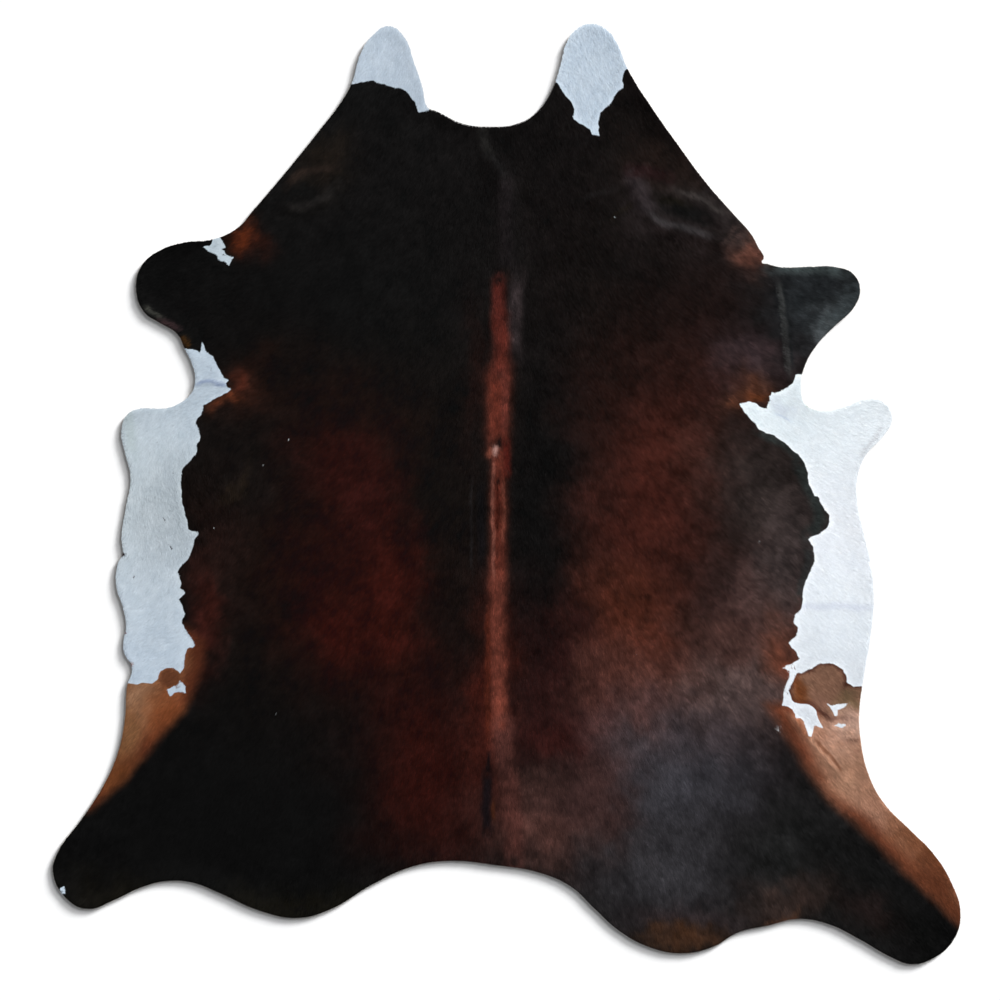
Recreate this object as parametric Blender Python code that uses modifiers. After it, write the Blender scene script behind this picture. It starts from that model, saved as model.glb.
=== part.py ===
"""A cowhide rug: one whole tanned hide, hair side up, lying flat on the floor.

Metres, +Z up. The neck is at +Y, the rump at -Y. The origin is on the floor, under the middle
of the hide's box. The hide is one sheet of leather with its nap, trimmed to a smooth outline.
Its middle lies flat; its trimmed edge curls up a few millimetres, and four creases stand up.
"""

import bpy
import numpy as np
from mathutils.geometry import delaunay_2d_cdt

# Driving sizes, in metres.
HIDE_LENGTH = 2.16  # neck lobe to hind shank, along the spine
SHEET_THICKNESS = 0.005  # the leather, with the nap that lies on it
RIM_SHARE = 0.5  # the share of that thickness left at the cut edge
RIM_ROUND = 0.004  # how far in from the cut edge the sheet reaches its full thickness

# The outline's and the creases' tables are in centimetres, on a hide of this length.
TABLE_LENGTH = 216.0
UNIT = HIDE_LENGTH / TABLE_LENGTH

# How far the trimmed edge curls up off the floor, and how wide the curling band is.
CURL_HEIGHT = 0.004
CURL_REACH = 0.060

# The outline, clockwise seen from above: (x, y) through which a smooth closed curve runs.
OUTLINE = {
    "neck hollow": ((-16.4, 88.2), (-10.0, 85.2), (-4.0, 84.5), (2.5, 85.2), (7.0, 87.9), (10.1, 92.2)),
    "right neck lobe": (
        (12.1, 97.4), (14.2, 104.5), (16.5, 107.2), (19.5, 108.2),
        (23.0, 107.0), (25.3, 104.2), (27.9, 98.0),
    ),
    "right neck edge": (
        (33.9, 88.4), (40.0, 79.8), (46.0, 71.7), (52.7, 64.1), (56.3, 60.0), (58.0, 56.9), (59.2, 54.5),
    ),
    "nick above the right fore flap": ((58.7, 53.5), (60.2, 53.1)),
    "right fore flap": (
        (63.0, 52.4), (70.0, 52.5), (76.0, 52.4), (79.6, 51.0), (81.3, 47.6),
        (80.2, 43.6), (75.0, 38.4), (71.3, 34.4), (68.6, 29.6),
    ),
    "right elbow hollow": ((67.7, 25.0), (68.9, 20.8), (72.5, 19.4), (77.5, 20.2)),
    "right brisket flap": (
        (82.4, 22.0), (85.6, 22.0), (88.1, 20.0), (88.6, 16.8), (86.9, 13.8), (82.6, 9.1),
    ),
    "right belly edge": (
        (80.8, 4.4), (80.7, -1.0), (82.3, -8.9), (83.9, -16.1),
        (84.5, -23.9), (83.8, -32.1), (82.4, -40.6), (81.2, -48.9),
    ),
    "right flank hollow": ((81.3, -55.0), (83.4, -64.5), (87.0, -71.0)),
    "right hind shank": (
        (93.2, -77.3), (98.2, -82.4), (102.3, -89.0), (104.4, -96.0),
        (102.8, -102.2), (97.6, -106.7), (93.0, -107.8), (88.6, -106.3),
    ),
    "right shank hollow": ((81.0, -102.0), (74.0, -98.6), (67.0, -97.4), (60.2, -98.9)),
    "right rump lobe": (
        (53.3, -100.5), (47.3, -103.9), (40.0, -105.3), (32.9, -103.9), (26.0, -100.2), (20.0, -94.8),
    ),
    "tail hollow": (
        (15.0, -90.1), (8.0, -86.9), (-2.0, -85.1), (-14.0, -84.1), (-22.0, -85.5), (-31.0, -89.6),
    ),
    "left rump lobe": ((-40.0, -95.0), (-48.0, -97.2), (-57.0, -95.4), (-66.0, -91.4)),
    "left shank hollow": ((-72.0, -89.1), (-78.0, -88.7), (-84.0, -90.2)),
    "left hind shank": (
        (-90.0, -93.0), (-96.4, -95.1), (-101.0, -92.8), (-104.2, -86.6), (-103.3, -82.5), (-97.2, -73.9),
    ),
    "left flank hollow": ((-92.1, -65.8), (-89.2, -58.9), (-87.7, -51.5), (-87.2, -44.0)),
    "left belly edge": (
        (-86.1, -39.6), (-87.9, -36.0), (-88.0, -33.4), (-87.4, -30.0), (-88.1, -25.9), (-89.7, -20.5),
        (-89.2, -15.4), (-88.2, -13.6), (-88.5, -10.0), (-87.5, -2.9), (-86.4, 4.0), (-87.7, 10.0),
    ),
    "left brisket flap": ((-88.5, 14.5), (-87.0, 18.7), (-84.0, 19.9), (-79.0, 19.9), (-75.6, 20.9)),
    "left elbow hollow": ((-72.2, 23.8), (-71.5, 26.5), (-72.2, 30.2), (-74.0, 33.8), (-75.6, 37.0)),
    "left fore flap": (
        (-79.7, 39.6), (-83.2, 42.0), (-85.1, 47.5), (-83.8, 52.8), (-79.8, 56.2), (-74.0, 58.1), (-68.0, 58.7),
    ),
    "left neck edge": (
        (-62.0, 61.3), (-58.0, 65.7), (-50.0, 75.1), (-43.0, 83.8), (-38.0, 90.3), (-35.5, 94.8),
    ),
    "left neck lobe": (
        (-33.6, 101.3), (-31.0, 105.4), (-27.0, 107.7), (-23.5, 105.2),
        (-21.1, 99.0), (-19.2, 93.4), (-18.4, 89.6), (-17.6, 88.6),
    ),
}

# Creases that stand up off the floor: the line of the crest, its height and its half width, in metres.
CREASES = {
    "fold across the right fore flap": {
        "crest": ((62.4, 48.6), (63.9, 40.5), (64.6, 33.2), (65.0, 27.3)),
        "height": 0.006,
        "half_width": 0.011,
    },
    "wrinkle on the right shoulder": {
        "crest": ((30.1, 69.9), (31.6, 66.2), (34.5, 63.3), (39.7, 61.4), (45.5, 59.6), (49.9, 58.9)),
        "height": 0.004,
        "half_width": 0.013,
    },
    "second wrinkle on the right shoulder": {
        "crest": ((33.6, 70.0), (39.6, 69.9), (45.5, 66.9), (49.9, 62.6)),
        "height": 0.003,
        "half_width": 0.012,
    },
    "crease along the right flank": {
        "crest": ((64.6, -49.6), (69.0, -54.7), (74.9, -62.0)),
        "height": 0.003,
        "half_width": 0.010,
    },
}

# Spacing of the points that carry the sheet: along a crease, near the rim, and over the flat middle.
CURVE_STEPS = 4  # points of the outline for each point of its table
CREASE_STEP = 0.012
RIM_STEP = 0.030
MIDDLE_STEP = 0.090
RIM_CLEARANCE = 0.012  # the least distance from the cut edge to a point of the band beside it

HAIR_BROWN = (0.030, 0.016, 0.012, 1.0)
HAIR_ROUGHNESS = 0.6


def clear_objects():
    for old in list(bpy.data.objects):
        bpy.data.objects.remove(old)


def new_collection(name):
    collection = bpy.data.collections.new(name)
    bpy.context.scene.collection.children.link(collection)
    return collection


def hair_material():
    material = bpy.data.materials.new("dark brown hair")
    material.use_nodes = True
    shader = material.node_tree.nodes["Principled BSDF"]
    shader.inputs["Base Color"].default_value = HAIR_BROWN
    shader.inputs["Roughness"].default_value = HAIR_ROUGHNESS
    shader.inputs["Metallic"].default_value = 0.0
    return material


def smooth_line(table_points, steps, closed):
    """Points in metres along the smooth curve through the points of a table."""
    curve = bpy.data.curves.new("smooth line", "CURVE")
    curve.dimensions = "3D"
    curve.resolution_u = steps
    spline = curve.splines.new("BEZIER")
    spline.bezier_points.add(len(table_points) - 1)
    for knot, (x, y) in zip(spline.bezier_points, table_points):
        knot.co = (x * UNIT, y * UNIT, 0.0)
        knot.handle_left_type = knot.handle_right_type = "AUTO"
    spline.use_cyclic_u = closed
    guide = bpy.data.objects.new("smooth line", curve)
    mesh = bpy.data.meshes.new_from_object(guide)
    points = np.array([vertex.co[:2] for vertex in mesh.vertices])
    bpy.data.objects.remove(guide)
    bpy.data.curves.remove(curve)
    bpy.data.meshes.remove(mesh)
    return points


def distance_to_line(points, line, closed):
    """The distance of each point from the nearest place on a line of points."""
    ends = np.roll(line, -1, axis=0) if closed else line[1:]
    starts = line if closed else line[:-1]
    along = ends - starts
    from_start = points[:, None, :] - starts[None, :, :]
    share = (from_start * along).sum(2) / (along * along).sum(1)
    nearest = starts + share.clip(0.0, 1.0)[:, :, None] * along
    return np.linalg.norm(points[:, None, :] - nearest, axis=2).min(1)


def inward_normals(ring):
    """The unit direction that points into a clockwise ring at each of its points."""
    along = np.roll(ring, -1, axis=0) - np.roll(ring, 1, axis=0)
    inward = np.stack([along[:, 1], -along[:, 0]], axis=1)
    return inward / np.linalg.norm(inward, axis=1)[:, None]


def inside_ring(points, ring):
    """Whether each point is inside the ring, by how often a level line from it crosses the ring."""
    ends = np.roll(ring, -1, axis=0)
    x, y = points[:, :1], points[:, 1:]
    spans = (ring[:, 1] > y) != (ends[:, 1] > y)
    rise = np.where(ends[:, 1] == ring[:, 1], 1.0, ends[:, 1] - ring[:, 1])
    crossing = ring[:, 0] + (y - ring[:, 1]) * (ends[:, 0] - ring[:, 0]) / rise
    return (spans & (x < crossing)).sum(1) % 2 == 1


def triangle_lattice(ring, step):
    """Points of an even triangular lattice that lie inside the ring."""
    row_step = step * np.sqrt(3.0) / 2.0
    low, high = ring.min(0), ring.max(0)
    rows = np.arange(low[1], high[1], row_step)
    columns = np.arange(low[0], high[0], step)
    points = [(x + (row % 2) * step / 2.0, y) for row, y in enumerate(rows) for x in columns]
    points = np.array(points)
    return points[inside_ring(points, ring)]


def crease_points(crest, half_width):
    """Points on a crease's crest and on both of its flanks."""
    along = np.gradient(crest, axis=0)
    across = np.stack([along[:, 1], -along[:, 0]], axis=1)
    across /= np.linalg.norm(across, axis=1)[:, None]
    return np.concatenate([crest + across * half_width * side for side in (-2.0, -1.0, 0.0, 1.0, 2.0)])


def evenly_spaced(line, step):
    """A line's points again, about step apart."""
    lengths = np.linalg.norm(np.diff(line, axis=0), axis=1)
    along = np.concatenate([[0.0], np.cumsum(lengths)])
    places = np.linspace(0.0, along[-1], max(2, round(along[-1] / step) + 1))
    return np.stack([np.interp(places, along, line[:, axis]) for axis in (0, 1)], axis=1)


def crests():
    """Each crease as (its crest's points, height, half width)."""
    found = []
    for crease in CREASES.values():
        crest = smooth_line(crease["crest"], CURVE_STEPS * 2, closed=False)
        found.append((evenly_spaced(crest, CREASE_STEP), crease["height"], crease["half_width"]))
    return found


def lattice_points(ring, creases):
    """The sheet's points inside its rim: close together at creases and rim, wide apart in the middle."""
    raised = np.concatenate([crease_points(crest, width) for crest, _, width in creases])
    band = triangle_lattice(ring, RIM_STEP)
    band = band[distance_to_line(band, ring, closed=True) < CURL_REACH + RIM_STEP]
    middle = triangle_lattice(ring, MIDDLE_STEP)
    middle = middle[distance_to_line(middle, ring, closed=True) > CURL_REACH + RIM_STEP]
    kept = raised[inside_ring(raised, ring)]
    for more, clearance in ((band, RIM_STEP * 0.5), (middle, MIDDLE_STEP * 0.4)):
        apart = np.linalg.norm(more[:, None, :] - kept[None, :, :], axis=2).min(1) > clearance
        kept = np.concatenate([kept, more[apart]])
    return kept[distance_to_line(kept, ring, closed=True) > RIM_CLEARANCE]


def lift(points, ring, creases):
    """How high the sheet's underside is off the floor at each point: nothing over the flat middle."""
    share = 1.0 - distance_to_line(points, ring, closed=True) / CURL_REACH
    height = CURL_HEIGHT * share.clip(0.0, 1.0) ** 2
    for crest, crest_height, half_width in creases:
        share = 1.0 - (distance_to_line(points, crest, closed=False) / (2.0 * half_width)) ** 2
        height = np.maximum(height, crest_height * share.clip(0.0, 1.0) ** 2)
    return height


def hide_sheet(collection):
    """The hide's underside as an open sheet, thickened upwards, thin at its cut edge."""
    table_points = [point for stretch in OUTLINE.values() for point in stretch]
    ring = smooth_line(table_points, CURVE_STEPS, closed=True)
    creases = crests()
    shoulder = ring + inward_normals(ring) * RIM_ROUND
    inner = lattice_points(ring, creases)
    points = np.concatenate([ring, shoulder, inner])
    count = len(ring)
    rings = [[start + i for i in range(count)] for start in (0, count)]
    edges = [(loop[i - 1], loop[i]) for loop in rings for i in range(count)]
    corners, _, faces, origins, _, _ = delaunay_2d_cdt(points.tolist(), edges, [rings[0][::-1]], 1, 1e-6)

    flat = np.array([tuple(corner) for corner in corners])
    height = lift(flat, ring, creases)
    middle = (ring.min(0) + ring.max(0)) / 2.0
    mesh = bpy.data.meshes.new("hide")
    mesh.from_pydata(np.column_stack([flat - middle, height]).tolist(), [], faces)
    mesh.materials.append(hair_material())
    hide = bpy.data.objects.new("hide", mesh)
    collection.objects.link(hide)

    rim = [i for i, origin in enumerate(origins) if any(source < count for source in origin)]
    body = sorted(set(range(len(corners))) - set(rim))
    sheet = hide.vertex_groups.new(name="sheet")
    sheet.add(rim, RIM_SHARE, "REPLACE")
    sheet.add(body, 1.0, "REPLACE")

    thicken = hide.modifiers.new("thickness", "SOLIDIFY")
    thicken.thickness = SHEET_THICKNESS
    thicken.offset = 1.0
    thicken.vertex_group = "sheet"
    mesh.shade_smooth()
    return hide


def main():
    clear_objects()
    hide_sheet(new_collection("cowhide rug"))


main()
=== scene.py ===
"""How the cowhide rug looks: a supple hide with its short lying hair, its markings and its creases.

Everything is in the frame's metres. The tables give places in centimetres, which place() turns into metres.
"""

import math

import bmesh
import bpy
import numpy as np
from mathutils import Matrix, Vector, kdtree
from mathutils.geometry import delaunay_2d_cdt


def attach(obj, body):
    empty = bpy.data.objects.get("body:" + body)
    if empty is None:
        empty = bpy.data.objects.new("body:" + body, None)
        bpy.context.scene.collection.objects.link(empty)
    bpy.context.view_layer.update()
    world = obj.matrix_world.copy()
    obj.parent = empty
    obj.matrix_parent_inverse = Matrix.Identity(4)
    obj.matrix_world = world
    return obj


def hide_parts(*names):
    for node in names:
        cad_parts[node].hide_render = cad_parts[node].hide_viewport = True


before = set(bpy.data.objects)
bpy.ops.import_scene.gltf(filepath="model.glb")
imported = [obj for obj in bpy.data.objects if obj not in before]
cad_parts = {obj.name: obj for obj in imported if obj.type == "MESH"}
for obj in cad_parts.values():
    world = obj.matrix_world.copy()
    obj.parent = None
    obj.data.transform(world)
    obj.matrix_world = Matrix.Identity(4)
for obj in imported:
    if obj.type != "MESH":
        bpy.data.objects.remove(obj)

CM = 0.01
MM = 0.001

# The tables' places are in cm, with x to the right and y towards the neck. This one is the frame's origin.
HIDE_MIDDLE = (0.15, 0.15)

# The supple sheet.
LEATHER = 2.3 * MM
CURL_HEIGHT = 4.0 * MM  # how far the trimmed edge curls up off the floor
CURL_REACH = 60.0 * MM

# The points of its mesh.
EDGE_STEP = 5.0 * MM  # spacing along the cut edge
BORDER_STEP = 4.0 * MM  # spacing along the borders of the white patches
BORDER_SPREAD = 1.0 * MM  # how far to either side of a border its points lie
SPOT_SIDES = 24
CREASE_STEP = 8.0 * MM
CREASE_FOOT = 2.0  # how many half widths from its crest a crease ends
CREASE_SIDES = (-CREASE_FOOT, -1.0, -0.5, 0.0, 0.5, 1.0, CREASE_FOOT)  # half widths, across a crease
SHEET_STEP = 12.0 * MM  # spacing of the points over the rest of the hide
BORDER_ROOM = 0.4 * BORDER_STEP  # how far the borders' points keep from the cut edge
CREASE_ROOM = 0.5 * BORDER_STEP  # how far the creases' points keep from edge and borders
SHEET_ROOM = 0.55 * SHEET_STEP  # how far the other points keep from all of these
FACING_UP = 0.5  # how far up a face's normal points where it counts as the hair side
SAME_POINT = 0.001 * MM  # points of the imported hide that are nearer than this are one
CURVE_PARTS = 8  # how many short straight lines stand for a curve between two points
TRIANGLES_INSIDE = 1  # asks for the triangles inside the cut edge alone
ROUNDING = 1e-7  # how exactly the triangles' corners keep to the points

# The hair.
HAIR_SEED = 20
HAIR_COUNT = 740_000
HAIR_PIECES = ("hair_of_the_rump", "hair_of_the_loin", "hair_of_the_ribs", "hair_of_the_neck")
HAIR_LENGTH = 14.0 * MM
HAIR_LENGTH_SPREAD = 0.18
HAIR_LENGTH_SHARES = (0.5, 1.5)  # the shortest and the longest, of the full length
HAIR_WIDTH = 1.25 * MM
HAIR_WIDTH_SHARES = (0.75, 1.25)
HAIR_RISE = 1.3 * MM  # how much higher a hair's tip lies than its root
HAIR_RISE_SHARES = (0.5, 1.3)
HAIR_BED = 0.3 * MM  # how deep the roots sit
HAIR_STRAY = math.radians(9.0)  # how far single hairs stray from the lay
HAIR_ROLL = 0.05  # how far single hairs are rolled, as a slope across them
HAIR_OVERHANG = 2.0 * MM  # how far hair reaches past the cut edge
TONE_SPREAD = 0.20  # how much lighter or darker single hairs are
WHITE_TONE_SHARE = 0.2  # of that spread, how much the white hair has
GLOSS = 0.0036  # the light that the hair's shine adds to its colour
DARKEST = 0.0005  # the least light that a colour gives back
BORDER_MIX = 0.3 * MM  # how far white and dark hairs mingle at a border
BORDER_LENGTH = 0.38  # of the full length, how long the hair is right at a border and in a fleck
MAP_MARGIN = 0.002  # of the flat map's width, what stays free along its rim

# How the hair lies: its turn in degrees from straight back, outwards on either side, x and y in cm.
LAY = {
    "neck ridge": (0, 0, 85),
    "withers": (0, 0, 40),
    "back": (0, 0, 0),
    "croup": (0, 0, -40),
    "tail head": (0, 0, -80),
    "side of the neck": (30, 28, 85),
    "neck lobe": (20, 24, 103),
    "shoulder": (50, 45, 55),
    "fore flap": (78, 75, 46),
    "ribs": (42, 35, 20),
    "brisket flap": (70, 80, 15),
    "low ribs": (58, 60, -5),
    "flank": (52, 78, -20),
    "loin": (30, 30, -30),
    "hip": (25, 35, -60),
    "thigh": (40, 60, -60),
    "rump lobe": (18, 45, -95),
    "shank": (42, 95, -90),
}
LAY_REACH = 26.0  # cm, how far each place's lay is felt
SPINE_REACH = 12.0  # cm, how far from the spine the hair still bends towards straight back
LEFT_WHORL = (-75.0, -3.0)  # cm, where the hair of the left flank turns the other way
WHORL_TURN = math.radians(84.0)
WHORL_REACH = 11.0  # cm
# Low waves in the lay: their height in radians, then scale in cm and start, across and along the hide.
LAY_WAVES = ((0.10, 5.3, 1.0, 6.1, 0.5 * math.pi), (0.06, 1.9, 0.0, 2.3, 0.7))
FAINT = 1e-9  # what is felt of a place however far away it is

# Creases: height in mm (below zero for a trough), half width in cm, the crest's line in cm.
CREASES = {
    "fold across the right fore flap": (3.4, 0.7, ((62.4, 49.2), (63.9, 40.5), (64.6, 33.2), (65, 26.8))),
    "trough beside that fold": (-1.2, 1.3, ((64.6, 48.8), (66.1, 40.5), (66.8, 33.2), (66.9, 28.6))),
    "short fold beside the right elbow": (2.0, 0.8, ((57.3, 31), (58, 27.5), (58.7, 23.7))),
    "wrinkle on the right shoulder": (3.2, 1.4, (
        (30.1, 70.6), (31.2, 66.5), (33.6, 63.6), (38.2, 61.2), (45.5, 59.6), (51.5, 57.5),
    )),
    "second wrinkle on the right shoulder": (2.8, 1.2, (
        (33.1, 69.9), (39.6, 69.9), (45.5, 66.9), (49.9, 62.6),
    )),
    "wrinkle towards the neck": (1.6, 1.1, ((20.7, 66.9), (25.5, 70.5), (30.8, 72.9))),
    "wrinkle on the left shoulder": (1.6, 1.2, (
        (-51, 66.6), (-48, 65.9), (-44.5, 67), (-41.6, 68.7), (-39.2, 71.4),
    )),
    "crease along the right flank": (2.8, 0.9, ((64.6, -49.6), (69, -54.7), (74.9, -62), (79, -67.5))),
    "second crease along the right flank": (1.8, 0.6, ((69.7, -55.4), (73, -59.2), (77.7, -65))),
    "pucker at the right flank": (1.5, 0.6, ((75, -57), (78.6, -56), (81, -56.6))),
    "second pucker at the right flank": (1.3, 0.5, ((75.5, -60.6), (79, -59.4), (81.6, -59.9))),
    "kink over the neck": (1.4, 1.6, ((-4.6, 83.6), (-3.2, 76), (0.4, 70.5), (0.6, 56), (1.4, 38))),
    "crease in the left elbow": (1.4, 0.5, ((-71.2, 25.6), (-67.5, 25.9), (-63.6, 25.2))),
    "crease in the right flank's white": (0.8, 0.8, ((70, -26.5), (77, -26.2), (84, -26.8))),
}

# Colours as they look, in 0 to 255 steps of a display.
FULL_WHITE = 255.0
BLACK = (15, 15, 15)
JET = (17, 17, 20)
COAL = (33, 33, 33)
LIVER = (40, 17, 15)
OXBLOOD = (53, 20, 16)
MAROON = (40, 20, 19)
BAY = (59, 29, 24)
SORREL = (92, 43, 33)
GINGER = (112, 60, 34)
BUFF = (168, 128, 104)
FAWN = (198, 164, 147)
SMOKE = (38, 41, 43)
ASH = (66, 74, 74)
FLESH = (196, 182, 164)
CUT = (150, 138, 124)

# Washes of colour over the black coat, each over the ones before, with soft and wandering rims:
# colour, strength, middle x and y in cm, half sizes in cm, turn in degrees.
WASHES = {
    # the left side
    "worn black of the neck": ((17, 16, 16), 1.0, -5, 72, 36, 20, 0),
    "brown haze on the left side": ((21, 14, 11), 0.95, -40, -4, 29, 36, 0),
    "red haze on the left ribs": ((31, 14, 12), 0.9, -36, -12, 16, 28, 10),
    "red of the left upper ribs": (LIVER, 0.9, -40, 9, 11, 6, -12),
    "red of the left ribs": (LIVER, 0.95, -30.5, -2, 7.4, 13, 0),
    "red of the left flank": ((45, 17, 14), 0.9, -40, -31, 8, 8, 0),
    "red of the left loin": (OXBLOOD, 0.95, -26, -25, 7, 13, 0),
    "red of the left hip": ((44, 17, 14), 0.95, -16, -64, 14, 23, 8),
    "black of the left belly": ((20, 17, 16), 0.95, -62, 6, 11, 14, 0),
    "haze along the left flank": ((30, 20, 18), 0.85, -66, -15, 7, 13, 0),
    "red edge of the left flank": ((54, 25, 21), 0.9, -70.5, -29, 3.8, 10, 0),
    "black of the left shoulder": (BLACK, 0.9, -36, 46, 25, 12, 0),
    "rust below the left shoulder": ((44, 21, 16), 0.8, -57.8, 60, 4.2, 4.2, 0),
    "rust of the left shoulder": ((92, 42, 24), 0.95, -60.6, 60.9, 4.0, 2.7, 48),
    "brown of the left elbow": ((42, 24, 19), 0.95, -60, 25, 6, 6, 0),
    "rust of the left elbow": ((90, 46, 29), 0.9, -64.5, 21.5, 3.4, 1.8, 24),
    "rust beside the left elbow": ((74, 36, 26), 0.85, -61.8, 26.8, 2.0, 2.6, 0),
    "blotch on the left ribs": ((34, 27, 20), 0.6, -63, 2, 1.5, 4, -30),
    "brown of the left neck": ((27, 22, 18), 0.9, -41, 76, 7, 5, 40),
    "dark of the left shoulder wrinkle": (BLACK, 0.9, -46.6, 70.4, 3.8, 1.8, 0),
    "dark band left of the back": ((14, 13, 12), 0.7, -16, -3, 4.5, 15, 0),
    "brown of the left rump's rim": ((21, 19, 14), 0.8, -50, -95, 15, 4, 0),
    "brown of the left shank": ((22, 20, 16), 0.8, -88, -93, 12, 6, 0),
    # the right side
    "haze on the right side": ((24, 19, 18), 1.0, 38, 5, 33, 92, 0),
    "grey of the right shoulder": ((38, 33, 33), 0.95, 41, 63, 14, 9, -25),
    "pale grey of the right shoulder": ((48, 44, 43), 0.8, 41, 67.5, 9, 3.5, -20),
    "grey above the right fore flap": ((76, 66, 63), 0.9, 57, 60.5, 4.6, 3.6, 0),
    "dark of the right shoulder": ((17, 16, 16), 0.7, 29, 51, 9, 5, 0),
    "brown of the right shoulder": ((30, 22, 21), 0.85, 48, 44, 13, 12, 0),
    "dark beside the right shoulders": ((21, 16, 15), 0.85, 25, 28, 8, 8, 0),
    "brown of the right neck": ((38, 29, 26), 0.9, 35, 75, 9, 4, -35),
    "rust of the right fore ribs": ((50, 28, 24), 0.85, 46, 24, 12, 10, 0),
    "red haze of the right ribs": ((46, 26, 23), 0.9, 37, -5, 21, 32, 0),
    "red of the right ribs": (BAY, 0.95, 33.5, -2, 11, 20, 0),
    "orange of the right ribs": ((68, 34, 28), 0.85, 39, 11, 9, 8, 0),
    "orange of the right low ribs": ((64, 37, 31), 0.6, 46, 9, 7, 9, 0),
    "orange of the right loin": ((77, 39, 29), 0.95, 28, -29, 12, 11, 0),
    "grey brown of the right side": ((49, 42, 40), 0.95, 60, 0, 12, 16, 0),
    "mole of the right flank": ((76, 56, 53), 0.95, 60, -24, 10, 9, 0),
    "grey of the right belly": ((64, 55, 54), 0.95, 65, -14, 6.5, 12, 0),
    "mole over the right loin": ((76, 52, 47), 0.9, 50, -35, 10, 6, 0),
    "maroon beside the croup": (MAROON, 0.95, 10, -38, 8, 15, 0),
    "maroon of the right hip": ((72, 43, 39), 0.95, 23, -52, 8, 14, 0),
    "roan of the right loin": ((84, 50, 42), 0.95, 33, -41.5, 12, 7, 0),
    "mauve of the right flank": ((93, 75, 72), 0.95, 52.5, -45, 12.5, 7.5, 0),
    "rust of the right flank": ((110, 64, 49), 0.95, 64.5, -38, 4.5, 8.5, 0),
    "mauve of the right hip": ((72, 63, 66), 0.95, 39, -57, 18, 8.5, 0),
    "rose beside the right croup": ((84, 58, 55), 0.8, 29, -50, 5, 5, 0),
    # The next two washes are painted sheen: blue-grey that stands for light glancing off the black hair of
    # the right hip and rump.
    "painted slate sheen on the right hip": ((58, 57, 62), 1.0, 42, -68, 16, 9, 0),
    "painted graphite sheen on the right rump": ((51, 50, 53), 1.0, 37, -85.5, 18.5, 13, 0),
    "maroon of the right croup": ((50, 24, 22), 0.95, 11, -56, 8, 8, 0),
    "rose of the tail head": ((79, 52, 47), 0.95, 9, -76, 12.2, 8.5, 0),
    "brown of the right croup": ((60, 41, 39), 0.9, 20, -69.5, 7, 7, 0),
    "coal of the right thigh": (COAL, 1.0, 67, -82, 11, 15, -35),
    "black of the right shank": ((22, 22, 22), 1.0, 86, -92, 12, 12, -40),
    "mauve of the right thigh's rim": ((54, 42, 38), 0.9, 64, -94, 11, 4, 12),
    "rust of the right thigh's rim": ((92, 60, 44), 0.8, 62.5, -97.3, 4, 1.1, 15),
    "mauve of the right shank": ((34, 26, 25), 0.8, 84, -96, 7, 3.5, -30),
    "mauve of the right rump's rim": ((52, 44, 45), 0.8, 40, -98.5, 11, 3, 0),
    "brown of the right rump's rim": ((64, 42, 29), 0.95, 41, -103, 9, 2.6, 0),
    "smoke of the right fore flap": (SMOKE, 1.0, 70, 44, 11, 12, 0),
    "ash of the right fore flap": ((84, 89, 91), 0.9, 73.5, 37.5, 4.2, 5, -30),
    "mole of the right elbow": ((58, 46, 48), 0.95, 55.5, 31, 8, 6, 0),
    "rust of the right elbow": ((80, 50, 38), 0.95, 56.5, 24, 5, 4, 0),
    "ginger of the right elbow": (GINGER, 0.6, 57.5, 21.8, 3, 1.2, -12),
    "rust of the right shoulder": ((104, 67, 56), 0.95, 57.6, 56.0, 3.6, 3.9, 30),
    # the middle of the back
    "black right of the back": (BLACK, 0.85, 7.4, 0, 5.4, 27, 0),
    "red haze left of the shoulders": ((30, 18, 16), 0.8, -7, 27, 3, 14, 0),
    "red ground of the croup": ((58, 25, 20), 0.95, -3.2, -46, 4.8, 21, 0),
}
WASH_HARDNESS = 1.25  # how sudden the end of a wash is

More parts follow.
